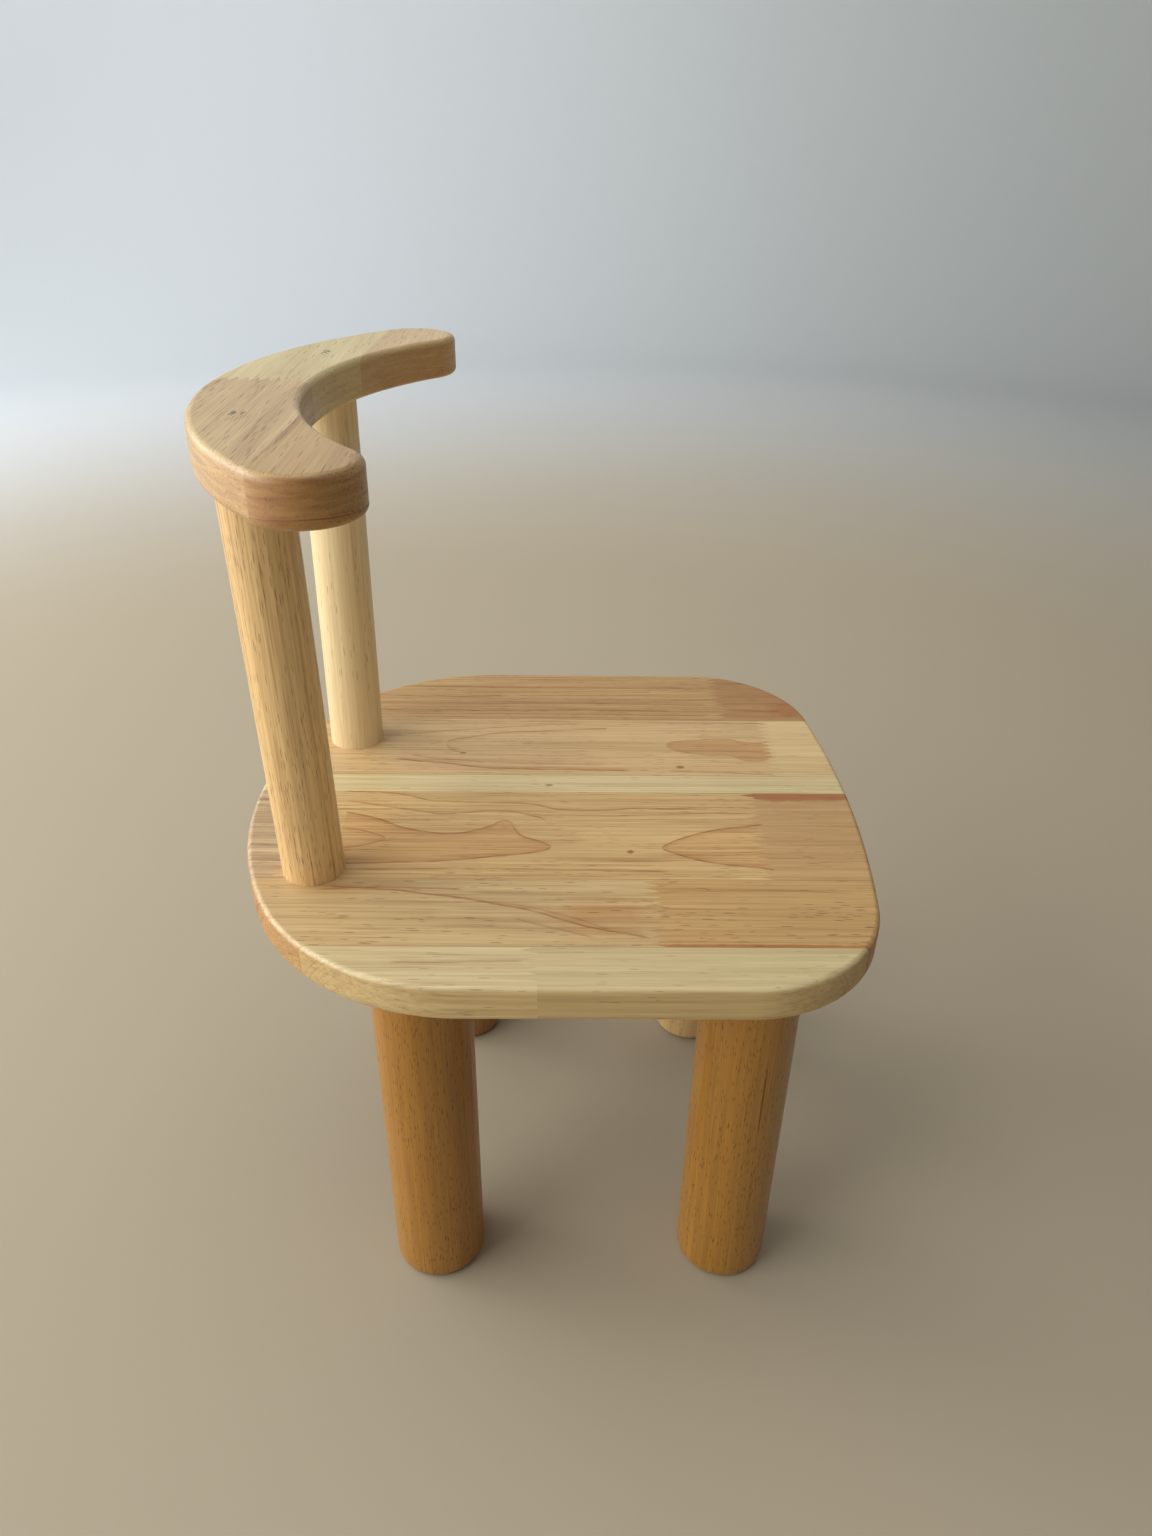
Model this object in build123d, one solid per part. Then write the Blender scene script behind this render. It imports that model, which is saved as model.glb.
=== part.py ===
"""Toddler's chair in solid rubberwood: a glued-up seat on four round legs, with a crescent back
rail that lies flat on two splayed posts.

Millimetres, +Z up. The origin is on the floor under the middle of the seat. A child in the chair
faces -Y, so the chair's left side is +X.
"""

from build123d import *
from math import cos, radians, sqrt
import os

# Seat and boards
SEAT_TOP = 241.0
BOARD = 18.5
SEAT_WIDTH = 288.0
SEAT_DEPTH = 308.0
FRONT_EDGE_RADIUS = 640.0
REAR_EDGE_RADIUS = 190.0
FRONT_CORNER_RADIUS = 64.0
REAR_CORNER_RADIUS = 107.0
SEAT_TOP_ROUNDOVER = 2.6
SEAT_BOTTOM_ROUNDOVER = 4.0

# Legs
LEG_RADIUS = 24.0
LEG_X = 88.5
LEG_FRONT_Y = -94.5
LEG_REAR_Y = 62.5
LEG_FOOT_ROUNDOVER = 4.5

# Posts: straight dowels that lean outwards by POST_SPLAY
POST_RADIUS = 14.4
POST_X = 62.0
POST_Y = 112.5
POST_SPLAY = 3.15

# Back rail: a crescent between two arcs, with round tips. It was screwed on a little turned.
RAIL_TOP = 448.0
RAIL_BACK_Y = 146.0
RAIL_INNER_Y = 102.5
RAIL_TIP_X = 115.3
RAIL_TIP_Y = 78.3
RAIL_TIP_RADIUS = 21.0
RAIL_ROUNDOVER = 3.0
RAIL_TURN = -2.3

# Glue lines. Seat staves run front to back, and rail staves run left to right. Each stave is
# named from the chair's left or rear, with the places of the end joints along it.
SEAT_GLUE_LINES = (144.0, 84.5, 22.0, 5.0, -70.0, -117.5, -144.0)
SEAT_END_JOINTS = ((-97.7,), (-120.4,), (), (-101.0, 127.0), (-45.5,), (10.0,))
BLOCK_NAMES = {1: ("",), 2: ("_front", "_rear"), 3: ("_front", "_middle", "_rear")}
RAIL_GLUE_LINE = 93.0
RAIL_END_JOINT = 3.0
FINGER_LENGTH = 8.0
FINGER_PITCH = 4.2
FINGER_MARGIN = 1.0

# Hardware
PLUG_RADIUS = 4.75
PLUG_HEIGHT = 4.0
WOOD_SCREW_RADIUS = 2.5
WOOD_SCREW_CORE_RADIUS = 1.8
WOOD_SCREW_HEAD_RADIUS = 4.7
WOOD_SCREW_HEAD_HEIGHT = 2.9
WOOD_SCREW_LENGTH = 50.0
WOOD_SCREW_THREAD_PITCH = 2.2
WOOD_SCREW_TIP = 5.0
WOOD_SCREW_POINT_RADIUS = 0.2
WOOD_SCREW_SHANK = 20.0
RECESS_WIDTH = 1.1
RECESS_SPAN = 4.6
RECESS_DEPTH = 1.8
BOLT_RADIUS = 4.0
BOLT_CORE_RADIUS = 3.25
BOLT_IN_LEG = 38.0
BOLT_IN_SEAT = 11.0
BOLT_THREAD_PITCH = 1.25
BOLT_TIP = 6.0
BOLT_POINT_RADIUS = 0.3
BOLT_WOOD_THREAD_PITCH = 2.5
BOLT_COLLAR = 3.0
BOLT_RUNOUT = 1.0
INSERT_RADIUS = 6.0
INSERT_RIB_RADIUS = 5.2
INSERT_HEIGHT = 12.0
INSERT_RIB_PITCH = 2.0
INSERT_RIM = 1.0
CUT_MARGIN = 1.0

SEAT_BOTTOM = SEAT_TOP - BOARD
RAIL_BOTTOM = RAIL_TOP - BOARD
SIDES = {"left": 1, "right": -1}
LEG_PLACES = {
    f"leg_{end}_{side}": (sign * LEG_X, y)
    for end, y in (("front", LEG_FRONT_Y), ("rear", LEG_REAR_Y))
    for side, sign in SIDES.items()
}


def mirrored_outline(middle, side):
    """A face whose edges are the middle ones, which cross the YZ plane, and both copies of the
    side ones, which are given for the +X half."""
    return make_face([*middle, *side, *(mirror(edge, Plane.YZ) for edge in side)])


def seat_outline():
    """Crowned front and rear edges, straight sides and four round corners."""
    half = SEAT_WIDTH / 2
    front = -SEAT_DEPTH / 2
    rear = SEAT_DEPTH / 2
    front_corner = front + FRONT_EDGE_RADIUS - sqrt(FRONT_EDGE_RADIUS**2 - half**2)
    rear_corner = rear - REAR_EDGE_RADIUS + sqrt(REAR_EDGE_RADIUS**2 - half**2)
    outline = mirrored_outline(
        middle=[
            ThreePointArc((-half, front_corner), (0, front), (half, front_corner)),
            ThreePointArc((-half, rear_corner), (0, rear), (half, rear_corner)),
        ],
        side=[Line((half, front_corner), (half, rear_corner))],
    )
    outline = fillet(outline.vertices().group_by(Axis.Y)[0], FRONT_CORNER_RADIUS)
    return fillet(outline.vertices().sort_by(Axis.Y).group_by(Axis.Y)[-1], REAR_CORNER_RADIUS)


def tip_tangent(middle_y, side):
    """Where the arc through (0, middle_y) touches the left tip's circle, on the circle's outer
    side (1) or inner side (-1)."""
    drop = RAIL_TIP_Y - middle_y
    radius = (RAIL_TIP_RADIUS**2 - RAIL_TIP_X**2 - drop**2) / (2 * (drop + side * RAIL_TIP_RADIUS))
    centre = Vector(0, middle_y - radius)
    tip = Vector(RAIL_TIP_X, RAIL_TIP_Y)
    return centre + (tip - centre) * (radius / (radius - side * RAIL_TIP_RADIUS))


def rail_outline():
    """The crescent: outer and inner arcs, joined at each end by a round tip tangent to both."""
    outer = tip_tangent(RAIL_BACK_Y, 1)
    inner = tip_tangent(RAIL_INNER_Y, -1)
    across = (outer - inner).normalized()
    tip_end = Vector(RAIL_TIP_X, RAIL_TIP_Y) + Vector(across.Y, -across.X) * RAIL_TIP_RADIUS
    return mirrored_outline(
        middle=[
            ThreePointArc((-outer.X, outer.Y), (0, RAIL_BACK_Y), outer),
            ThreePointArc((-inner.X, inner.Y), (0, RAIL_INNER_Y), inner),
        ],
        side=[ThreePointArc(outer, tip_end, inner)],
    )


def board(outline, bottom, top_roundover, bottom_roundover):
    """A board of the outline's shape with its edges rounded over."""
    plate = Pos(0, 0, bottom) * extrude(outline, BOARD)
    plate = fillet(plate.edges().group_by(Axis.Z)[-1], top_roundover)
    return fillet(plate.edges().group_by(Axis.Z)[0], bottom_roundover)


def finger_line(low, high, place, zone):
    """A finger joint across a stave, as (across, along) points: fingers inside the zone, and a
    straight shoulder where the stave reaches past it."""
    first = max(low, zone[0])
    last = min(high, zone[1])
    flanks = 2 * round((last - first) / FINGER_PITCH)
    reach = FINGER_LENGTH / 2
    points = [
        (first + (last - first) * i / flanks, place + (reach if i % 2 else -reach))
        for i in range(flanks + 1)
    ]
    if low < first:
        points.insert(0, (low, place - reach))
    if last < high:
        points.append((high, place - reach))
    return points


def stave_blocks(low, high, joints, limit, zone):
    """Outlines of the blocks of one stave, as (across, along) points, from its low end up."""
    lines = [[(low, -limit), (high, -limit)]]
    lines += [finger_line(low, high, joint, zone) for joint in joints]
    lines += [[(low, limit), (high, limit)]]
    return [start + end[::-1] for start, end in zip(lines, lines[1:])]


def prism(points):
    """A tall prism over an outline of (x, y) points, for cutting a board."""
    return extrude(make_face(Polyline(*points, close=True)), 2 * RAIL_TOP)


def post_axis(side):
    """Location with +Z along a post's axis and its origin where the axis meets the seat's top."""
    return Location((SIDES[side] * POST_X, POST_Y, SEAT_TOP), (0, SIDES[side] * POST_SPLAY, 0))


def up_cylinder(radius, low, high):
    """A cylinder about the Z axis between two heights."""
    return Pos(0, 0, (low + high) / 2) * Cylinder(radius, high - low)


def threaded_profile(outer, core, low, high, pitch):
    """Half-section points of a ringed thread from low to high, on the +X side."""
    turns = int((high - low) / pitch)
    points = []
    for i in range(turns):
        points.append((core, low + i * pitch))
        points.append((outer, low + (i + 0.5) * pitch))
    points.append((core, low + turns * pitch))
    return points


def turned(points):
    """A solid of revolution about Z from half-section points, closed on the axis."""
    low = (0, points[0][1])
    high = (0, points[-1][1])
    section = make_face(Polyline(low, *points, high, close=True))
    return revolve(Plane.XZ * section, Axis.Z)


def wood_screw():
    """A countersunk wood screw, head up at Z 0, with a cross recess."""
    tip = -WOOD_SCREW_LENGTH
    points = [(WOOD_SCREW_POINT_RADIUS, tip)]
    points += threaded_profile(
        WOOD_SCREW_RADIUS,
        WOOD_SCREW_CORE_RADIUS,
        tip + WOOD_SCREW_TIP,
        -WOOD_SCREW_SHANK,
        WOOD_SCREW_THREAD_PITCH,
    )
    points += [
        (WOOD_SCREW_CORE_RADIUS, -WOOD_SCREW_HEAD_HEIGHT),
        (WOOD_SCREW_HEAD_RADIUS, 0),
    ]
    screw = turned(points)
    for turn in (0, 90):
        screw -= Rot(0, 0, turn) * Box(RECESS_SPAN, RECESS_WIDTH, 2 * RECESS_DEPTH)
    return screw


def screw_hole():
    """The room that a wood screw needs below its head: its head's cone and a snug bore."""
    shank = up_cylinder(WOOD_SCREW_RADIUS, -WOOD_SCREW_LENGTH, 0)
    head = Pos(0, 0, -WOOD_SCREW_HEAD_HEIGHT / 2) * Cone(
        WOOD_SCREW_CORE_RADIUS, WOOD_SCREW_HEAD_RADIUS, WOOD_SCREW_HEAD_HEIGHT
    )
    return shank + head


def hanger_bolt():
    """Wood thread down into the leg and machine thread up into the seat, meeting at Z 0."""
    points = [(BOLT_POINT_RADIUS, -BOLT_IN_LEG)]
    points += threaded_profile(
        BOLT_RADIUS,
        BOLT_CORE_RADIUS,
        BOLT_TIP - BOLT_IN_LEG,
        -BOLT_COLLAR - BOLT_RUNOUT,
        BOLT_WOOD_THREAD_PITCH,
    )
    points += [(BOLT_RADIUS, -BOLT_COLLAR), (BOLT_RADIUS, 0)]
    points += threaded_profile(
        BOLT_RADIUS, BOLT_CORE_RADIUS, BOLT_THREAD_PITCH / 2, BOLT_IN_SEAT, BOLT_THREAD_PITCH
    )
    return turned(points)


def insert_nut():
    """A ribbed brass insert that stands on Z 0, with the bolt's bore through it."""
    points = [(INSERT_RADIUS, 0), (INSERT_RADIUS, INSERT_RIM)]
    points += threaded_profile(
        INSERT_RADIUS, INSERT_RIB_RADIUS, 1.5 * INSERT_RIM, INSERT_HEIGHT, INSERT_RIB_PITCH
    )
    return turned(points) - up_cylinder(BOLT_RADIUS, -CUT_MARGIN, INSERT_HEIGHT + CUT_MARGIN)


# Screws lie on the posts' axes: one down through the rail under a plug, one up through the seat.
rise = (RAIL_TOP - SEAT_TOP) / cos(radians(POST_SPLAY))
plug_seat = rise - PLUG_HEIGHT
seat_drop = BOARD / cos(radians(POST_SPLAY))
rail_screw_places = [post_axis(side) * Pos(0, 0, plug_seat) for side in SIDES]
seat_screw_places = [post_axis(side) * Pos(0, 0, -seat_drop) * Rot(180, 0, 0) for side in SIDES]
bolt_places = [Pos(x, y, SEAT_BOTTOM) for x, y in LEG_PLACES.values()]

nodes = {}

# Seat
seat = board(seat_outline(), SEAT_BOTTOM, SEAT_TOP_ROUNDOVER, SEAT_BOTTOM_ROUNDOVER)
for place in seat_screw_places:
    seat -= place * screw_hole()
for place in bolt_places:
    seat -= place * up_cylinder(INSERT_RADIUS, -CUT_MARGIN, INSERT_HEIGHT)
finger_end = SEAT_WIDTH / 2 - max(SEAT_TOP_ROUNDOVER, SEAT_BOTTOM_ROUNDOVER) - FINGER_MARGIN
seat_staves = zip(SEAT_GLUE_LINES, SEAT_GLUE_LINES[1:], SEAT_END_JOINTS)
for number, (high, low, joints) in enumerate(seat_staves, 1):
    blocks = stave_blocks(low, high, joints, SEAT_DEPTH, (-finger_end, finger_end))
    for suffix, points in zip(BLOCK_NAMES[len(blocks)], blocks):
        nodes[f"seat_stave_{number}{suffix}"] = seat & prism(points)

# Legs
for name, (x, y) in LEG_PLACES.items():
    leg = up_cylinder(LEG_RADIUS, 0, SEAT_BOTTOM)
    leg = fillet(leg.edges().group_by(Axis.Z)[0], LEG_FOOT_ROUNDOVER)
    leg -= up_cylinder(BOLT_RADIUS, SEAT_BOTTOM - BOLT_IN_LEG, SEAT_BOTTOM)
    nodes[name] = Pos(x, y, 0) * leg

# Posts, cut level where they meet the seat and the rail
post_height = RAIL_BOTTOM - SEAT_TOP
between = Pos(0, 0, SEAT_TOP + post_height / 2) * Box(2 * SEAT_WIDTH, 2 * SEAT_DEPTH, post_height)
for side, rail_place, seat_place in zip(SIDES, rail_screw_places, seat_screw_places):
    dowel = post_axis(side) * up_cylinder(POST_RADIUS, -POST_RADIUS, rise + POST_RADIUS)
    post = dowel & between
    post -= rail_place * screw_hole()
    post -= seat_place * screw_hole()
    nodes[f"post_{side}"] = post

# Back rail
rail_turn = Location((0, POST_Y, 0), (0, 0, RAIL_TURN)) * Pos(0, -POST_Y, 0)
rail = rail_turn * board(rail_outline(), RAIL_BOTTOM, RAIL_ROUNDOVER, RAIL_ROUNDOVER)
for side, place in zip(SIDES, rail_screw_places):
    bore = place * up_cylinder(PLUG_RADIUS, 0, 2 * PLUG_HEIGHT)
    nodes[f"rail_plug_{side}"] = rail & bore
    rail -= bore
    rail -= place * screw_hole()
finger_start = RAIL_INNER_Y + RAIL_ROUNDOVER + FINGER_MARGIN
finger_end = RAIL_BACK_Y - RAIL_ROUNDOVER - FINGER_MARGIN
blocks = stave_blocks(
    RAIL_GLUE_LINE, SEAT_DEPTH, (RAIL_END_JOINT,), SEAT_WIDTH, (finger_start, finger_end)
)
for side, points in zip(("right", "left"), blocks):
    nodes[f"rail_back_{side}"] = rail & (rail_turn * prism([(x, y) for y, x in points]))
for side, sign in SIDES.items():
    front = Pos(sign * SEAT_WIDTH / 2, RAIL_GLUE_LINE - SEAT_DEPTH / 2, RAIL_TOP)
    nodes[f"rail_tip_{side}"] = rail & (rail_turn * front * Box(SEAT_WIDTH, SEAT_DEPTH, RAIL_TOP))

# Hardware, one node for each kind
nodes["rail_screws"] = [place * wood_screw() for place in rail_screw_places]
nodes["post_screws"] = [place * wood_screw() for place in seat_screw_places]
nodes["leg_hanger_bolts"] = [place * hanger_bolt() for place in bolt_places]
nodes["seat_insert_nuts"] = [place * insert_nut() for place in bolt_places]

os.makedirs("parts", exist_ok=True)
for name, shape in nodes.items():
    pieces = shape if isinstance(shape, list) else [shape]
    solids = [solid for piece in pieces for solid in piece.solids()]
    export_step(solids[0] if len(solids) == 1 else Compound(children=solids), f"parts/{name}.step")
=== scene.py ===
"""Looks of the toddler chair: solid rubberwood blocks under satin lacquer, with zinc and brass
hardware, in soft studio light. Places are in the chair's frame, in millimetres unless said."""

import math

import bpy
from mathutils import Matrix, Vector


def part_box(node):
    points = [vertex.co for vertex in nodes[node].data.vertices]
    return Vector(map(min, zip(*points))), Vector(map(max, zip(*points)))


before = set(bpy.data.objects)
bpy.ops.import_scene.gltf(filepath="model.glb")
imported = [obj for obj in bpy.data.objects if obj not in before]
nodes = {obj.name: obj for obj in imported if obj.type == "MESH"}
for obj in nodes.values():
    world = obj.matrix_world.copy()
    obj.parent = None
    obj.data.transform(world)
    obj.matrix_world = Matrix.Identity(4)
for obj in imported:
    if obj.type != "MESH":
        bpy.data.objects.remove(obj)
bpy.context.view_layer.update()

MM = 0.001


# ---------------------------------------------------------------- node helpers


def srgb(red, green, blue):
    """Linear RGBA of a colour given as 0 to 255 screen values."""
    linear = []
    for value in (red, green, blue):
        share = value / 255
        linear.append(share / 12.92 if share <= 0.04045 else ((share + 0.055) / 1.055) ** 2.4)
    return (*linear, 1.0)


def connect(tree, value, socket):
    """Link a socket, or set a plain value."""
    if isinstance(value, bpy.types.NodeSocket):
        tree.links.new(value, socket)
    else:
        socket.default_value = value


def add(tree, kind, inputs=None, **settings):
    """A new node with its settings and inputs."""
    made = tree.nodes.new(kind)
    for name, value in settings.items():
        setattr(made, name, value)
    for name, value in (inputs or {}).items():
        connect(tree, value, made.inputs[name])
    return made


def math_node(tree, operation, first, second=0.0, third=0.0):
    """Output of a Math node."""
    inputs = {0: first, 1: second, 2: third}
    return add(tree, "ShaderNodeMath", inputs, operation=operation).outputs[0]


def times(tree, *values):
    """Product of several values."""
    product = values[0]
    for value in values[1:]:
        product = math_node(tree, "MULTIPLY", product, value)
    return product


def vector_node(tree, operation, first, second=(0.0, 0.0, 0.0)):
    """Vector output of a Vector Math node."""
    inputs = {0: first, 1: second}
    return add(tree, "ShaderNodeVectorMath", inputs, operation=operation).outputs["Vector"]


def length(tree, vector):
    """Length of a vector."""
    return add(tree, "ShaderNodeVectorMath", {0: vector}, operation="LENGTH").outputs["Value"]


def dot(tree, first, second):
    """Dot product of two vectors."""
    inputs = {0: first, 1: second}
    return add(tree, "ShaderNodeVectorMath", inputs, operation="DOT_PRODUCT").outputs["Value"]


def ramp(tree, value, start, end, low=0.0, high=1.0, kind="SMOOTHSTEP"):
    """Value mapped from start..end to low..high, and held beyond both ends."""
    inputs = {"Value": value, "From Min": start, "From Max": end, "To Min": low, "To Max": high}
    return add(tree, "ShaderNodeMapRange", inputs, interpolation_type=kind).outputs["Result"]


def noise(tree, vector, scales, detail=2.0):
    """3-D noise with its own scale along each axis, as (value, colour)."""
    inputs = {"Vector": vector_node(tree, "MULTIPLY", vector, scales), "Scale": 1.0, "Detail": detail}
    made = add(tree, "ShaderNodeTexNoise", inputs)
    return made.outputs[0], made.outputs["Color"]


def centred(tree, value):
    """Noise value moved to lie evenly about zero."""
    return math_node(tree, "SUBTRACT", value, 0.5)


def random_by(tree, value):
    """A random number from 0 to 1 for each value."""
    return add(tree, "ShaderNodeTexWhiteNoise", {"W": value}, noise_dimensions="1D").outputs[0]


def mix(tree, blend, factor, first, second):
    """Colour output of a Mix node."""
    made = add(tree, "ShaderNodeMix", data_type="RGBA", blend_type=blend)
    for index, value in ((0, factor), (6, first), (7, second)):
        connect(tree, value, made.inputs[index])
    return made.outputs[2]


def blob(tree, position, centre, size):
    """Distance from a centre in shares of a size per axis, in mm: 1 on the ellipsoid's surface."""
    away = vector_node(tree, "SUBTRACT", position, [value * MM for value in centre])
    return length(tree, vector_node(tree, "DIVIDE", away, [value * MM for value in size]))


def curve(tree, along, points):
    """A smooth curve through given (along, across) points in mm, as the place across in metres."""
    points = sorted(points)
    low, high = points[0][0], points[-1][0]
    bottom = min(across for _, across in points) - 1.0
    top = max(across for _, across in points) + 1.0
    share = ramp(tree, along, low * MM, high * MM, kind="LINEAR")
    made = add(tree, "ShaderNodeFloatCurve", {"Value": share})
    line = made.mapping.curves[0]
    spots = [((a - low) / (high - low), (b - bottom) / (top - bottom)) for a, b in points]
    line.points[0].location = spots[0]
    line.points[1].location = spots[-1]
    for spot in spots[1:-1]:
        line.points.new(*spot)
    made.mapping.update()
    return math_node(tree, "MULTIPLY_ADD", made.outputs[0], (top - bottom) * MM, bottom * MM)


# ---------------------------------------------------------------- solid wood

WOOD_INPUTS = {
    "Grain": "NodeSocketVector",
    "Early": "NodeSocketColor",
    "Late": "NodeSocketColor",
    "Ring": "NodeSocketFloat",
    "Lines": "NodeSocketFloat",
    "Bands": "NodeSocketFloat",
    "Streaks": "NodeSocketFloat",
    "Streak Scale": "NodeSocketVector",
    "Ends": "NodeSocketFloat",
    "Warp": "NodeSocketFloat",
    "Pores": "NodeSocketFloat",
    "Pore Scale": "NodeSocketVector",
    "Seed": "NodeSocketFloat",
}
WOOD_OUTPUTS = {
    "Color": "NodeSocketColor",
    "Pore": "NodeSocketFloat",
    "Fibre": "NodeSocketFloat",
}
PORE_TINT = (0.34, 0.23, 0.15, 1.0)

# Noise scales, in cells per metre: across, across and along the grain.
WAVE_SCALES = (16, 16, 5)
RIPPLE_SCALES = (90, 90, 16)
RIPPLE_SHARE = (0.2, 0.2, 0.0)
FADE_SCALES = (40, 40, 9)
BAND_SCALES = (45, 45, 2)
DRIFT_SCALES = (45, 45, 14)
FIBRE_SCALES = (1500, 1500, 28)
HAIR_SCALES = (950, 950, 20)

NOISE_MIDDLE = (0.5, 0.5, 0.5)
RING_UNEVENNESS = 2.2
# The dark line rises by this power of the share of a ring, and falls away after LATE_END.
LATE_SHARPNESS = 4.0
LATE_END = 0.93
ENDS_BOLDER = 0.8
RING_TONE_SHARE = 0.3
BASE_LATE = 0.3
FIBRE_SHARE = 0.7
HAIR_SHARE = 0.3
ENDS_FIBRE = 0.3
ENDS_PORES = 0.45
PORE_DARKNESS = 0.8
# Two sizes of vessel: the cells' scale, and the stroke's reach within a cell.
PORE_SIZES = (((1.0, 1.0, 1.0), 0.24), ((0.62, 0.62, 0.7), 0.19))


def wander(tree, given, here):
    """How far the grain wanders from a straight log, in long waves and small ripples."""
    waves = vector_node(tree, "SUBTRACT", noise(tree, here, WAVE_SCALES)[1], NOISE_MIDDLE)
    ripples = vector_node(tree, "SUBTRACT", noise(tree, here, RIPPLE_SCALES, 3.0)[1], NOISE_MIDDLE)
    ripples = vector_node(tree, "MULTIPLY", ripples, RIPPLE_SHARE)
    both = vector_node(tree, "ADD", waves, ripples)
    inputs = {0: both, "Scale": given["Warp"]}
    return add(tree, "ShaderNodeVectorMath", inputs, operation="SCALE").outputs[0]


def ring_tones(tree, given, place, here):
    """The rings' share of late wood: a thin dark line ends each ring, and rings differ in tone."""
    flat = vector_node(tree, "MULTIPLY", place, (1.0, 1.0, 0.0))
    steps = math_node(tree, "DIVIDE", length(tree, flat), given["Ring"])
    steps = math_node(tree, "ADD", steps, given["Seed"])
    inputs = {"W": steps, "Scale": 1.0, "Detail": 1.0}
    uneven = add(tree, "ShaderNodeTexNoise", inputs, noise_dimensions="1D").outputs[0]
    steps = math_node(tree, "MULTIPLY_ADD", uneven, RING_UNEVENNESS, steps)
    ring = math_node(tree, "FLOOR", steps)
    share = math_node(tree, "FRACT", steps)
    rise = math_node(tree, "POWER", share, LATE_SHARPNESS)
    fall = ramp(tree, share, LATE_END, 1.0, 1.0, 0.0)
    fade = ramp(tree, noise(tree, here, FADE_SCALES)[0], 0.36, 0.62, 0.2, 1.0)
    chance = ramp(tree, random_by(tree, ring), 0.2, 0.95)
    bold = math_node(tree, "MULTIPLY_ADD", given["Ends"], ENDS_BOLDER, given["Lines"])
    line = times(tree, rise, fall, fade, chance, bold)
    tone = centred(tree, random_by(tree, math_node(tree, "ADD", ring, 0.37)))
    wide = centred(tree, noise(tree, here, BAND_SCALES, 1.0)[0])
    tone = math_node(tree, "MULTIPLY_ADD", tone, RING_TONE_SHARE, wide)
    return math_node(tree, "MULTIPLY_ADD", tone, given["Bands"], line)


def pore_strokes(tree, given, here):
    """Vessels: short dark strokes along the grain, in drifts."""
    drift = ramp(tree, noise(tree, here, DRIFT_SCALES, 1.0)[0], 0.35, 0.7, 0.25, 1.0)
    kept = times(tree, drift, given["Pores"])
    pore = None
    for scales, reach in PORE_SIZES:
        stretched = vector_node(tree, "MULTIPLY", here, given["Pore Scale"])
        stretched = vector_node(tree, "MULTIPLY", stretched, scales)
        cell = add(tree, "ShaderNodeTexVoronoi", {"Vector": stretched, "Scale": 1.0})
        luck = add(tree, "ShaderNodeSeparateColor", {"Color": cell.outputs["Color"]}).outputs[0]
        there = math_node(tree, "LESS_THAN", luck, kept)
        core = ramp(tree, cell.outputs["Distance"], reach * 0.6, reach, 1.0, 0.0)
        mark = times(tree, there, core)
        pore = mark if pore is None else math_node(tree, "MAXIMUM", pore, mark)
    return pore


def solid_wood():
    """Node group of wood through the whole block. Grain is the place in the log, in metres: X and Y
    from the pith, Z along it."""
    tree = bpy.data.node_groups.new("solid_wood", "ShaderNodeTree")
    for name, kind in WOOD_INPUTS.items():
        tree.interface.new_socket(name, in_out="INPUT", socket_type=kind)
    for name, kind in WOOD_OUTPUTS.items():
        tree.interface.new_socket(name, in_out="OUTPUT", socket_type=kind)
    given = tree.nodes.new("NodeGroupInput").outputs
    place, seed = given["Grain"], given["Seed"]
    shift = add(tree, "ShaderNodeCombineXYZ", {"Z": math_node(tree, "MULTIPLY", seed, 1.7)}).outputs[0]
    warp = wander(tree, given, vector_node(tree, "ADD", place, shift))
    place = vector_node(tree, "ADD", place, warp)
    here = vector_node(tree, "ADD", place, shift)

    late = ring_tones(tree, given, place, here)
    streak = centred(tree, noise(tree, here, given["Streak Scale"], 4.0)[0])
    fibre = centred(tree, noise(tree, here, FIBRE_SCALES, 2.0)[0])
    fibre = times(tree, fibre, ramp(tree, given["Ends"], 0.0, 1.0, 1.0, ENDS_FIBRE))
    late = math_node(tree, "MULTIPLY_ADD", streak, given["Streaks"], late)
    late = math_node(tree, "MULTIPLY_ADD", fibre, FIBRE_SHARE, late)
    hairs = ramp(tree, noise(tree, here, HAIR_SCALES, 1.0)[0], 0.6, 0.74)
    late = math_node(tree, "MULTIPLY_ADD", hairs, HAIR_SHARE, late)
    late = math_node(tree, "ADD", late, BASE_LATE)
    late = add(tree, "ShaderNodeClamp", {"Value": late}).outputs[0]
    colour = mix(tree, "MIX", late, given["Early"], given["Late"])
    pore = pore_strokes(tree, given, here)
    pore = times(tree, pore, ramp(tree, given["Ends"], 0.0, 1.0, 1.0, ENDS_PORES))
    dark = mix(tree, "MULTIPLY", 1.0, colour, PORE_TINT)
    colour = mix(tree, "MIX", times(tree, pore, PORE_DARKNESS), colour, dark)

    out = tree.nodes.new("NodeGroupOutput").inputs
    tree.links.new(colour, out["Color"])
    tree.links.new(pore, out["Pore"])
    tree.links.new(fibre, out["Fibre"])
    return tree


WOOD = solid_wood()
GRAIN_AXES = {
    "X": ((0, 1, 0), (0, 0, 1), (1, 0, 0)),
    "Y": ((1, 0, 0), (0, 0, 1), (0, 1, 0)),
    "Z": ((1, 0, 0), (0, 1, 0), (0, 0, 1)),
}
# A vessel's usual stroke on each axis comes from these cells per metre: across, across, along.
SHORT_PORES = (1150, 1150, 120)
MIDDLE_PORES = (1600, 1600, 75)
LONG_PORES = (1500, 1500, 45)
BOLD_PORES = (1100, 1100, 75)
# Streaks are as fine up the board as across it, or lie in level layers.
FINE_STREAKS = (560, 560, 7)
LAYERED_STREAKS = (90, 480, 6)

# How far the grain strays from a straight log, in mm.
WARP = 3.0

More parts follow.
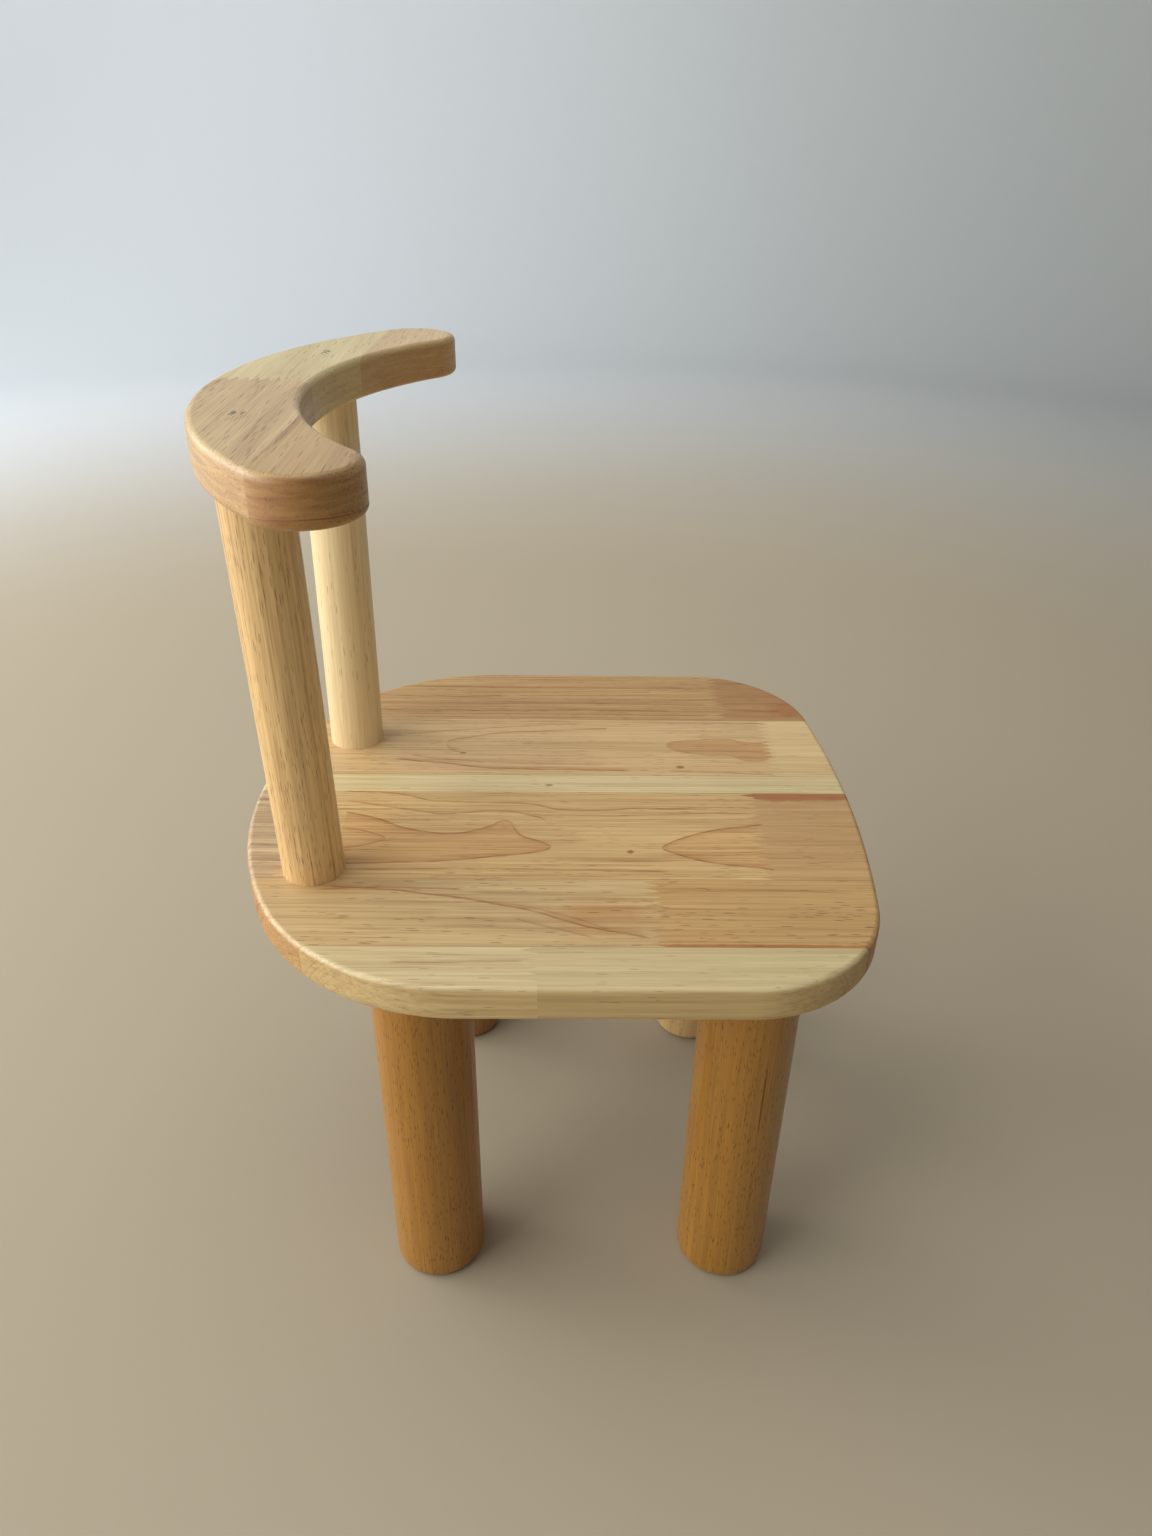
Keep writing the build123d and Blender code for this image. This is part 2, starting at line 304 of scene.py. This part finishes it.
PLAIN = (1.0, 1.0, 1.0, 1.0)
END_TINT = (0.85, 0.72, 0.6, 1.0)
LINE_TINT = (0.55, 0.31, 0.14, 1.0)
GLUE_TINT = (0.6, 0.46, 0.34, 1.0)
FILLER = srgb(70, 76, 44)

# Sizes of the drawn figure, in mm.
FIGURE_WANDER = 2.4
LINE_CORE = 0.25
LINE_EDGE = 0.95
SHADE_WIDTH = 5.0
SHADE_STRENGTH = 0.3
LINE_FADE = 6.0
HEART_FADE = 1.5
HEART_EDGE = (-0.4, 0.6)

# Noise scales of ragged outlines and broken strokes, in cells per metre.
WANDER_SCALES = (45, 45, 45)
BREAK_SCALES = (300, 70, 70)
RAGGED_SCALES = (130, 130, 130)
FILLER_SCALES = (420, 420, 0)
STAIN_RAGGEDNESS = 0.9

# Glue lines, in mm from the joint, and how dark they are.
GLUE_CORE = 0.1
GLUE_EDGE = 0.4
GLUE_STRENGTH = 0.6

# Lacquer: its roughness, how much rougher it is over fibres, pores and end grain, and its relief
# in mm.
WOOD_ROUGHNESS = 0.42
FIBRE_ROUGHER = 0.14
PORE_ROUGHER = 0.25
ENDS_ROUGHER = 0.12
FIBRE_RELIEF = 0.35
RELIEF_DEPTH = 0.07
LACQUER_IOR = 1.47
COAT_ROUGHNESS = 0.22


def block_wood(tree, local, ends, look):
    """The plain wood of one block, as the outputs of the wood group."""
    across, up, along = (dot(tree, local, axis) for axis in GRAIN_AXES[look["axis"]])
    pith_across, pith_up = look["pith"]
    side = math_node(tree, "SUBTRACT", across, pith_across * MM)
    depth = math_node(tree, "SUBTRACT", up, pith_up * MM)
    grain = add(tree, "ShaderNodeCombineXYZ", {"X": side, "Y": depth, "Z": along}).outputs[0]
    body = add(tree, "ShaderNodeGroup", node_tree=WOOD)
    values = {
        "Grain": grain,
        "Early": look["early"],
        "Late": look["late"],
        "Ring": look["ring"] * MM,
        "Lines": look["lines"],
        "Bands": look["bands"],
        "Streaks": look["streaks"],
        "Streak Scale": look["streak_scale"],
        "Ends": ends,
        "Warp": WARP * MM,
        "Pores": look["pores"],
        "Pore Scale": look["pore_scale"],
        "Seed": look["seed"],
    }
    for name, value in values.items():
        connect(tree, value, body.inputs[name])
    return body.outputs


def figure(tree, position, look):
    """Masks of the drawn figure on a face seen from above: its dark lines and its tinted hearts."""
    parts = add(tree, "ShaderNodeSeparateXYZ", {"Vector": position}).outputs
    sway = centred(tree, noise(tree, position, WANDER_SCALES, 3.0)[0])
    across = math_node(tree, "MULTIPLY_ADD", sway, FIGURE_WANDER * MM, parts["X"])
    along = parts["Y"]
    broken = ramp(tree, noise(tree, position, BREAK_SCALES, 2.0)[0], 0.3, 0.6, 0.55, 1.0)
    dark, hearts = None, []

    def within(points, margin):
        """1 over the points' stretch of the board, with soft ends inside it."""
        low = min(spot[0] for spot in points) * MM
        high = max(spot[0] for spot in points) * MM
        start = ramp(tree, along, low, low + margin * MM)
        end = ramp(tree, along, high - margin * MM, high, 1.0, 0.0)
        return times(tree, start, end)

    def darken(gap, strength, stretch):
        """Add a thin line where the gap is small, with a soft shade beside it."""
        nonlocal dark
        core = ramp(tree, math_node(tree, "ABSOLUTE", gap), LINE_CORE * MM, LINE_EDGE * MM, 1.0, 0.0)
        shade = ramp(tree, gap, 0.0, SHADE_WIDTH * MM, SHADE_STRENGTH, 0.0)
        beside = ramp(tree, gap, -0.5 * MM, 0.0)
        soft = math_node(tree, "MAXIMUM", core, times(tree, shade, beside))
        line = times(tree, soft, stretch, broken, strength)
        dark = line if dark is None else math_node(tree, "MAXIMUM", dark, line)

    for points, strength in look["figure_lines"]:
        gap = math_node(tree, "SUBTRACT", across, curve(tree, along, points))
        darken(gap, strength, within(points, LINE_FADE))
    for upper, lower, strength, tint in look["hearts"]:
        above = math_node(tree, "SUBTRACT", curve(tree, along, upper), across)
        below = math_node(tree, "SUBTRACT", across, curve(tree, along, lower))
        stretch_up = within(upper, HEART_FADE)
        stretch_low = within(lower, HEART_FADE)
        darken(above, strength, stretch_up)
        darken(below, strength, stretch_low)
        start, end = (value * MM for value in HEART_EDGE)
        inside = times(
            tree,
            ramp(tree, above, start, end),
            ramp(tree, below, start, end),
            math_node(tree, "MINIMUM", stretch_up, stretch_low),
        )
        hearts.append((inside, tint))
    return dark, hearts


def wood(name, **given):
    """Material of one block, from its entry in BLOCKS."""
    look = DEFAULTS | given
    material = bpy.data.materials.new(name)
    material.use_nodes = True
    tree = material.node_tree
    tree.nodes.clear()
    position = add(tree, "ShaderNodeTexCoord").outputs["Object"]
    direction = Vector(GRAIN_AXES[look["axis"]][2])
    local = position
    if look["lean"] is not None:
        angle, foot = look["lean"]
        inputs = {"Vector": position, "Center": foot, "Angle": angle}
        local = add(tree, "ShaderNodeVectorRotate", inputs, rotation_type="Y_AXIS").outputs[0]
        direction.rotate(Matrix.Rotation(-angle, 3, "Y"))
    normal = add(tree, "ShaderNodeNewGeometry").outputs["Normal"]
    facing = math_node(tree, "ABSOLUTE", dot(tree, normal, direction))
    ends = ramp(tree, facing, 0.35, 0.98)
    body = block_wood(tree, local, ends, look)
    colour = body["Color"]

    if look["figure_lines"] or look["hearts"]:
        dark, hearts = figure(tree, position, look)
        for inside, tint in hearts:
            colour = mix(tree, "MULTIPLY", inside, colour, tint)
        colour = mix(tree, "MULTIPLY", dark, colour, LINE_TINT)

    # Stains, knots and mineral streaks, with ragged outlines.
    for centre, size, tint, softness in look["stains"]:
        ragged = noise(tree, position, RAGGED_SCALES, 2.0)[1]
        ragged = vector_node(tree, "SUBTRACT", ragged, NOISE_MIDDLE)
        reach = [value * MM * STAIN_RAGGEDNESS for value in size]
        moved = vector_node(tree, "MULTIPLY", ragged, reach)
        away = blob(tree, vector_node(tree, "ADD", position, moved), centre, size)
        mask = ramp(tree, away, 1.0 - softness, 1.0 + softness * 0.5, 1.0, 0.0)
        colour = mix(tree, "MULTIPLY", mask, colour, tint)

    # End grain soaks up more lacquer and looks darker and redder.
    colour = mix(tree, "MULTIPLY", ends, colour, END_TINT)

    # Painted shade: upright faces, such as the seat's and rail's sides, are painted darker and more
    # amber than the level faces, for the shade they stand in.
    level = math_node(tree, "ABSOLUTE", dot(tree, normal, (0.0, 0.0, 1.0)))
    upright = ramp(tree, level, 0.3, 0.8, 1.0, 0.0)
    colour = mix(tree, "MULTIPLY", upright, colour, look["painted_side_shade"])

    # Thin dark glue lines where this stave meets the next.
    for place in look["glue"]:
        across = add(tree, "ShaderNodeSeparateXYZ", {"Vector": position}).outputs["X"]
        gap = math_node(tree, "ABSOLUTE", math_node(tree, "SUBTRACT", across, place))
        seam = ramp(tree, gap, GLUE_CORE * MM, GLUE_EDGE * MM, GLUE_STRENGTH, 0.0)
        colour = mix(tree, "MULTIPLY", seam, colour, GLUE_TINT)

    # Filler shows as short broken strokes in the top face.
    for centre, size in look["filler"]:
        away = blob(tree, position, centre, size)
        broken = ramp(tree, noise(tree, position, FILLER_SCALES, 1.0)[0], 0.42, 0.56)
        mask = times(tree, ramp(tree, away, 0.5, 1.0, 1.0, 0.0), broken)
        colour = mix(tree, "MIX", mask, colour, FILLER)

    rough = math_node(tree, "MULTIPLY_ADD", body["Fibre"], FIBRE_ROUGHER, WOOD_ROUGHNESS)
    rough = math_node(tree, "MULTIPLY_ADD", body["Pore"], PORE_ROUGHER, rough)
    rough = math_node(tree, "MULTIPLY_ADD", ends, ENDS_ROUGHER, rough)
    height = math_node(tree, "MULTIPLY_ADD", body["Pore"], -1.0, 1.0)
    height = math_node(tree, "MULTIPLY_ADD", body["Fibre"], FIBRE_RELIEF, height)
    relief = {"Height": height, "Strength": 0.5, "Distance": RELIEF_DEPTH * MM}
    inputs = {
        "Base Color": colour,
        "Roughness": rough,
        "Normal": add(tree, "ShaderNodeBump", relief).outputs[0],
        "IOR": LACQUER_IOR,
        "Coat Weight": look["coat"],
        "Coat Roughness": COAT_ROUGHNESS,
    }
    shader = add(tree, "ShaderNodeBsdfPrincipled", inputs)
    add(tree, "ShaderNodeOutputMaterial", {"Surface": shader.outputs[0]})
    return material


# ---------------------------------------------------------------- the blocks

SEAT_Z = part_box("seat_stave_3")[1].z / MM
RAIL_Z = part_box("rail_back_left")[1].z / MM
SPOT_DEPTH = 60.0
RED = (0.74, 0.5, 0.36, 1.0)
PINK = (0.97, 0.88, 0.82, 1.0)
ROSE = (0.91, 0.78, 0.68, 1.0)
KNOT = (0.5, 0.35, 0.25, 1.0)
CRACK = (0.4, 0.28, 0.2, 1.0)
# Painted shade on upright faces: tints that darken the seat's and the rail's sides.
SEAT_SIDE_SHADE = (0.9, 0.79, 0.65, 1.0)
RAIL_SIDE_SHADE = (0.96, 0.85, 0.71, 1.0)
DEFAULTS = dict(
    axis="Y",
    pith=(0.0, 0.0),
    ring=2.8,
    lines=0.7,
    bands=0.4,
    streaks=1.2,
    streak_scale=FINE_STREAKS,
    pores=0.3,
    pore_scale=MIDDLE_PORES,
    seed=0.0,
    figure_lines=(),
    hearts=(),
    stains=(),
    glue=(),
    filler=(),
    painted_side_shade=PLAIN,
    lean=None,
    coat=0.18,
)


def seat_spot(x, y, size_x, size_y, tint, softness=0.5):
    """A stain on the seat's top, through its whole thickness."""
    return ((x, y, SEAT_Z), (size_x, size_y, SPOT_DEPTH), tint, softness)


def glue_lines(name, low, high):
    """The X places of the glue lines on a stave's low and high sides, in metres."""
    corner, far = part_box(name)
    places = []
    if low:
        places.append(corner.x)
    if high:
        places.append(far.x)
    return places


LEG = dict(
    axis="Z", ring=3.0, lines=0.35, bands=0.35, streaks=0.6, pore_scale=SHORT_PORES, coat=0.4,
)
RAIL = dict(axis="X", ring=3.0, pore_scale=LONG_PORES, streak_scale=LAYERED_STREAKS)

# Figure lines are (points, strength), and hearts are (left side, right side, strength, tint). Their
# points are (y, x) places on the seat. pith is the log's centre line: (across, up), or (x, y) for an
# upright piece.
BLOCKS = {
    "seat_stave_1_rear": dict(
        early=srgb(205, 165, 105), late=srgb(140, 95, 50), pith=(260, 200), ring=3.4, lines=1.0,
        bands=0.6, pores=0.5, seed=1.0,
        figure_lines=(
            (((112, 114), (60, 113), (30, 114)), 0.9),
            (((118, 96), (40, 95), (-20, 96), (-70, 95)), 0.9),
            (((90, 126), (0, 125), (-80, 127)), 0.6),
            (((110, 103), (0, 104), (-92, 103)), 0.5),
            (((60, 119), (-60, 120)), 0.5),
            (((112, 90), (0, 91), (-92, 90)), 0.6),
        ),
    ),
    "seat_stave_1_front": dict(
        early=srgb(185, 140, 85), late=srgb(135, 80, 40), pith=(250, 190), ring=3.2, lines=0.8,
        bands=0.6, pores=0.45, seed=2.3,
        figure_lines=((((-100, 97), (-136, 96)), 0.7),),
        stains=(seat_spot(98, -138, 9, 12, (0.9, 0.72, 0.6, 1.0)),),
    ),
    "seat_stave_2_rear": dict(
        early=srgb(225, 190, 135), late=srgb(165, 120, 70), pith=(50, 120), ring=3.2, lines=0.5,
        bands=0.3, pores=0.45, seed=3.1,
        figure_lines=(
            (((98, 64), (74, 68), (34, 74), (-18, 80)), 0.5),
            (((90, 38), (60, 34), (34, 29), (0, 28), (-42, 27)), 0.95),
            (((82, 43), (50, 37), (10, 34), (-30, 33)), 0.45),
            (((-60, 27), (-100, 25), (-132, 22.8)), 0.7),
            (((20, 55), (-40, 57), (-60, 56)), 0.25),
        ),
        hearts=(
            (
                ((62, 56), (57, 60), (48, 63), (30, 68), (0, 71), (-30, 74)),
                ((62, 56), (59, 50), (51, 45)),
                0.65, PLAIN,
            ),
            (
                ((-62, 53), (-72, 60), (-96, 62), (-112, 58), (-121, 61)),
                ((-62, 53), (-72, 47), (-84, 44), (-96, 44), (-108, 38), (-121, 42)),
                0.4, ROSE,
            ),
        ),
        stains=(seat_spot(31, -68, 1.6, 2.6, KNOT), seat_spot(45, 51, 1.0, 1.8, KNOT)),
    ),
    "seat_stave_2_front": dict(
        early=srgb(230, 200, 145), late=srgb(190, 150, 95), pith=(90, 150), ring=3.5, lines=0.35,
        bands=0.3, pores=0.15, seed=4.7,
    ),
    "seat_stave_3": dict(
        early=srgb(230, 210, 160), late=srgb(190, 160, 105), pith=(160, 120), lines=0.6, bands=0.35,
        pores=0.2, seed=5.2, stains=(seat_spot(12, 3, 0.9, 2.2, KNOT),),
    ),
    "seat_stave_4_rear": dict(
        early=srgb(215, 185, 140), late=srgb(125, 90, 60), pith=(-20, 150), ring=2.4, lines=1.2,
        bands=0.9, pores=0.9, seed=6.1,
    ),
    "seat_stave_4_middle": dict(
        early=srgb(225, 190, 130), late=srgb(160, 110, 60), pith=(-38, 150), ring=3.2, lines=0.5,
        bands=0.3, pores=0.55, seed=7.4,
        figure_lines=(
            (
                ((112, 4.6), (88, 4), (60, -4), (42, -5), (14, -6), (-10, -12), (-46, -10), (-106, -9)),
                0.75,
            ),
            (((108, -4), (74, -12), (54, -15.5), (30, -13), (14, -16), (2, -24)), 0.7),
            (((20, -12), (-20, -17), (-60, -15), (-106, -14)), 0.45),
            (((94, -63), (20, -62), (-56, -64)), 0.55),
            (((60, -68), (-30, -67.5), (-90, -68)), 0.4),
            (((10, -58), (-20, -60), (-50, -59)), 0.3),
        ),
        hearts=(
            (
                ((1, -44), (7, -40), (15, -36), (20, -28), (24, -22), (32, -27), (50, -33), (68, -31),
                 (88, -21), (106, -15)),
                ((1, -44), (10, -49), (34, -53), (54, -56), (106, -58)),
                0.85, PINK,
            ),
            (
                ((82, -38), (90, -33), (106, -28)),
                ((82, -38), (92, -43), (106, -46)),
                0.6, PLAIN,
            ),
            (
                ((-52, -45), (-56, -41), (-68, -34), (-86, -28), (-106, -24)),
                ((-52, -45), (-58, -49), (-68, -54), (-84, -58), (-106, -62)),
                0.9, (0.97, 0.9, 0.84, 1.0),
            ),
        ),
        stains=(seat_spot(-48, -37, 1.5, 2.0, KNOT),),
    ),
    "seat_stave_4_front": dict(
        early=srgb(210, 170, 115), late=srgb(160, 110, 65), pith=(-43, 120), ring=3.5, lines=0.3,
        bands=0.3, pores=0.3, seed=8.8, stains=(seat_spot(2, -128, 4.5, 40, RED, 0.25),),
    ),
    "seat_stave_5_rear": dict(
        early=srgb(220, 190, 135), late=srgb(155, 110, 65), pith=(-150, 180), ring=3.2, lines=0.5,
        bands=0.35, pores=0.6, pore_scale=BOLD_PORES, seed=9.5,
        figure_lines=(
            (((106, -76), (60, -81), (14, -92), (-16, -104), (-44, -112)), 0.8),
            (((40, -85), (4, -93), (-28, -108)), 0.5),
            (((20, -98), (-20, -112)), 0.4),
            (((110, -79), (70, -77), (40, -79)), 0.55),
        ),
        stains=(
            seat_spot(-98, -24, 15, 24, PINK), seat_spot(-78, 96, 4, 34, PINK),
            seat_spot(-94, -20, 6, 20, PINK),
        ),
    ),
    "seat_stave_5_front": dict(
        early=srgb(210, 170, 110), late=srgb(160, 115, 65), pith=(-200, 200), ring=3.0, lines=0.5,
        bands=0.3, pores=0.9, pore_scale=BOLD_PORES, seed=10.2,
        figure_lines=((((-45, -80), (-90, -78), (-140, -80)), 0.35),),
        stains=(seat_spot(-116.5, -90, 1.2, 60, RED, 0.4),),
    ),
    "seat_stave_6_rear": dict(
        early=srgb(225, 205, 155), late=srgb(170, 135, 90), pith=(-220, 190), lines=0.6, bands=0.4,
        pores=0.3, seed=11.6, figure_lines=((((70, -128), (30, -127), (10, -126)), 0.45),),
    ),
    "seat_stave_6_front": dict(
        early=srgb(215, 195, 145), late=srgb(175, 145, 100), pith=(-240, 200), lines=0.35, bands=0.3,
        pores=0.2, seed=12.9,
    ),
    "leg_rear_right": LEG | dict(
        early=srgb(175, 120, 35), late=srgb(115, 65, 15), pith=(-40, 160), pores=1.5, seed=13.3,
    ),
    "leg_front_right": LEG | dict(
        early=srgb(180, 125, 40), late=srgb(120, 75, 20), pith=(-30, -10), pores=1.6, seed=14.6,
        stains=(((-111, -101.5, 140), (4, 0.55, 26), CRACK, 0.4),),
    ),
    "leg_rear_left": LEG | dict(
        early=srgb(170, 120, 60), late=srgb(110, 70, 30), pith=(30, 150), pores=1.3, seed=15.1,
    ),
    "leg_front_left": LEG | dict(
        early=srgb(215, 180, 120), late=srgb(165, 120, 70), pith=(60, -190), pores=0.8, seed=16.9,
    ),
    "post_right": dict(
        early=srgb(250, 210, 145), late=srgb(165, 115, 60), axis="Z", pith=(-62, 170), ring=2.5,
        lines=0.5, bands=0.3, streaks=0.8, pores=1.9, pore_scale=MIDDLE_PORES, seed=17.2,
    ),
    "post_left": dict(
        early=srgb(240, 215, 165), late=srgb(205, 170, 115), axis="Z", pith=(62, 175), ring=3.0,
        lines=0.3, bands=0.3, streaks=1.2, pores=0.25, seed=18.4,
    ),
    "rail_tip_right": RAIL | dict(
        early=srgb(195, 160, 105), late=srgb(135, 85, 45), pith=(80, 300), lines=0.9, bands=0.7,
        pores=1.4, seed=19.7, painted_side_shade=(1.0, 0.92, 0.77, 1.0),
    ),
    "rail_back_right": RAIL | dict(
        early=srgb(215, 185, 130), late=srgb(150, 105, 65), pith=(80, 300), lines=0.6, bands=0.5,
        pores=1.0, seed=20.5, painted_side_shade=(0.88, 0.77, 0.65, 1.0),
        filler=(((-57, 121, RAIL_Z), (4.5, 2.0, 1.5)), ((-57, 116.5, RAIL_Z), (4.0, 1.6, 1.5))),
    ),
    "rail_back_left": RAIL | dict(
        early=srgb(220, 200, 145), late=srgb(180, 150, 95), pith=(90, 300), lines=0.5, bands=0.35,
        pores=0.4, seed=21.8, filler=(((64, 109, RAIL_Z), (7.5, 3.0, 1.5)),),
    ),
    "rail_tip_left": RAIL | dict(
        early=srgb(215, 185, 135), late=srgb(175, 135, 80), pith=(80, 310), lines=0.5, bands=0.4,
        pores=0.4, seed=22.1,
    ),
}
STAVES = 6
SPLAY = math.radians(3.15)
SIDES = {"left": 1, "right": -1}

# A plug is turned from the same board as the rail around it, with its grain the same way.
for side in SIDES:
    BLOCKS[f"rail_plug_{side}"] = {
        key: value for key, value in BLOCKS[f"rail_back_{side}"].items() if key != "filler"
    }

for name, look in BLOCKS.items():
    if name.startswith("seat_stave"):
        stave = int(name.split("_")[2])
        look["glue"] = glue_lines(name, low=stave < STAVES, high=stave > 1)
        look["painted_side_shade"] = SEAT_SIDE_SHADE
    if name.startswith("rail"):
        look.setdefault("painted_side_shade", RAIL_SIDE_SHADE)
    if name.startswith("post"):
        low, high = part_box(name)
        side = SIDES[name.split("_")[1]]
        middle = (low + high) / 2
        look["lean"] = (-side * SPLAY, (middle.x, middle.y, middle.z))
    material = wood(name + "_wood", **look)
    for slot in nodes[name].material_slots:
        slot.material = material


# ---------------------------------------------------------------- hardware


def metal(name, colour, worn, roughness):
    """Plated or turned metal with fine turning marks and uneven tarnish."""
    material = bpy.data.materials.new(name)
    material.use_nodes = True
    tree = material.node_tree
    tree.nodes.clear()
    position = add(tree, "ShaderNodeTexCoord").outputs["Object"]
    cloud = ramp(tree, noise(tree, position, (400, 400, 400), 3.0)[0], 0.35, 0.7)
    turning = noise(tree, position, (200, 200, 9000), 2.0)[0]
    relief = {"Height": turning, "Strength": 0.4, "Distance": 0.02 * MM}
    inputs = {
        "Base Color": mix(tree, "MIX", cloud, colour, worn),
        "Metallic": 1.0,
        "Roughness": math_node(tree, "MULTIPLY_ADD", turning, 0.18, roughness),
        "Normal": add(tree, "ShaderNodeBump", relief).outputs[0],
    }
    shader = add(tree, "ShaderNodeBsdfPrincipled", inputs)
    add(tree, "ShaderNodeOutputMaterial", {"Surface": shader.outputs[0]})
    return material


ZINC = metal("yellow_zinc", srgb(205, 200, 178), srgb(176, 160, 112), 0.26)
BRASS = metal("turned_brass", srgb(218, 184, 110), srgb(176, 138, 76), 0.3)
HARDWARE = {
    "rail_screws": ZINC,
    "post_screws": ZINC,
    "leg_hanger_bolts": ZINC,
    "seat_insert_nuts": BRASS,
}
for name, material in HARDWARE.items():
    for slot in nodes[name].material_slots:
        slot.material = material


# ---------------------------------------------------------------- studio

# The sweep, in metres.
FLOOR_RADIUS = 2.4
FLOOR_BEND = 0.9
WALL_HEIGHT = 2.5
SWEEP_TURNS = 96
SWEEP_BENDS = 16
WALL_TONE_FROM = 0.9
DAYLIGHT = (0.95, 0.98, 1.0)


def sweep_material():
    """Pale warm paper; its wall is painted darker and greyer towards the side away from the window, as
    painted shade.
    """
    material = bpy.data.materials.new("pale_paper")
    material.use_nodes = True
    tree = material.node_tree
    tree.nodes.clear()
    position = add(tree, "ShaderNodeTexCoord").outputs["Object"]
    tone = noise(tree, position, (1.2, 1.2, 1.2), 2.0)[0]
    floor = mix(tree, "MIX", tone, srgb(168, 154, 130), srgb(174, 160, 136))
    parts = add(tree, "ShaderNodeSeparateXYZ", {"Vector": position}).outputs
    # Painted shade: the wall's colour goes from grey on the side away from the window to pale on the
    # window side.
    painted_light_share = ramp(tree, parts["Y"], -2.0, 1.4)
    wall = mix(tree, "MIX", painted_light_share, srgb(172, 174, 170), srgb(222, 226, 229))
    away = length(tree, position)
    colour = mix(tree, "MIX", ramp(tree, away, WALL_TONE_FROM, FLOOR_RADIUS), floor, wall)
    shader = add(tree, "ShaderNodeBsdfPrincipled", {"Base Color": colour, "Roughness": 0.75})
    add(tree, "ShaderNodeOutputMaterial", {"Surface": shader.outputs[0]})
    return material


def sweep():
    """A round studio floor that curves up into a wall, wide enough for a camera anywhere round it."""
    profile = [(FLOOR_RADIUS * 0.4, 0.0), (FLOOR_RADIUS, 0.0)]
    for step in range(1, SWEEP_BENDS + 1):
        angle = math.pi / 2 * step / SWEEP_BENDS
        radius = FLOOR_RADIUS + FLOOR_BEND * math.sin(angle)
        profile.append((radius, FLOOR_BEND * (1 - math.cos(angle))))
    profile.append((FLOOR_RADIUS + FLOOR_BEND, WALL_HEIGHT))
    points = [(0.0, 0.0, 0.0)]
    for radius, height in profile:
        for step in range(SWEEP_TURNS):
            angle = 2 * math.pi * step / SWEEP_TURNS
            points.append((radius * math.cos(angle), radius * math.sin(angle), height))
    faces = []
    for step in range(SWEEP_TURNS):
        after = (step + 1) % SWEEP_TURNS
        faces.append((0, 1 + step, 1 + after))
        for ring in range(len(profile) - 1):
            low = 1 + ring * SWEEP_TURNS
            high = low + SWEEP_TURNS
            faces.append((low + step, high + step, high + after, low + after))
    mesh = bpy.data.meshes.new("studio_sweep")
    mesh.from_pydata(points, [], faces)
    mesh.shade_smooth()
    mesh.materials.append(sweep_material())
    made = bpy.data.objects.new("studio_sweep", mesh)
    bpy.context.scene.collection.objects.link(made)


def area_light(name, place, size, power, colour=(1.0, 1.0, 1.0), aim=(0.0, 0.0, 0.25)):
    """A soft box in metres and watts, turned towards its aim."""
    data = bpy.data.lights.new(name, "AREA")
    data.shape = "RECTANGLE"
    data.size, data.size_y = size
    data.energy = power
    data.color = colour
    lamp = bpy.data.objects.new(name, data)
    lamp.location = place
    lamp.rotation_mode = "QUATERNION"
    lamp.rotation_quaternion = (Vector(aim) - Vector(place)).to_track_quat("-Z", "Y")
    lamp.visible_camera = False
    bpy.context.scene.collection.objects.link(lamp)


# The camera, in metres and radians; its lens is in mm.
CAMERA_PLACE = (-0.4705, -0.0029, 0.5455)
CAMERA_YAW = 0.01681
CAMERA_PITCH = 0.54690
CAMERA_ROLL = 0.01543
CAMERA_LENS = 25.21


def camera():
    """A camera just outside the chair's right side, looking down across the seat."""
    flat = math.cos(CAMERA_PITCH)
    forward = Vector(
        (math.cos(CAMERA_YAW) * flat, -math.sin(CAMERA_YAW) * flat, -math.sin(CAMERA_PITCH))
    )
    right = Vector((-math.sin(CAMERA_YAW), -math.cos(CAMERA_YAW), 0.0))
    up = right.cross(forward)
    rolled_right = math.cos(CAMERA_ROLL) * right + math.sin(CAMERA_ROLL) * up
    rolled_up = math.cos(CAMERA_ROLL) * up - math.sin(CAMERA_ROLL) * right
    data = bpy.data.cameras.new("camera")
    data.lens = CAMERA_LENS
    data.clip_start = 0.01
    made = bpy.data.objects.new("camera", data)
    axes = Matrix((rolled_right, rolled_up, -forward)).transposed().to_4x4()
    made.matrix_world = Matrix.Translation(CAMERA_PLACE) @ axes
    bpy.context.scene.collection.objects.link(made)
    bpy.context.scene.camera = made


scene = bpy.context.scene
scene.view_settings.view_transform = "Standard"
world = bpy.data.worlds.new("studio_air")
world.use_nodes = True
backdrop = world.node_tree.nodes["Background"]
backdrop.inputs["Color"].default_value = (0.93, 0.96, 1.0, 1.0)
backdrop.inputs["Strength"].default_value = 0.1
scene.world = world

sweep()
area_light("window_near", (-0.5, 2.1, 1.1), (3.0, 2.0), 74.0, DAYLIGHT)
area_light("window_far", (1.0, 2.0, 1.3), (1.6, 1.6), 16.0, DAYLIGHT)
area_light("ceiling", (0.0, 0.1, 2.3), (2.2, 2.2), 21.0)
area_light("wall_wash", (1.2, 0.4, 1.9), (1.8, 0.8), 16.0, aim=(3.2, 0.4, 0.5))
camera()
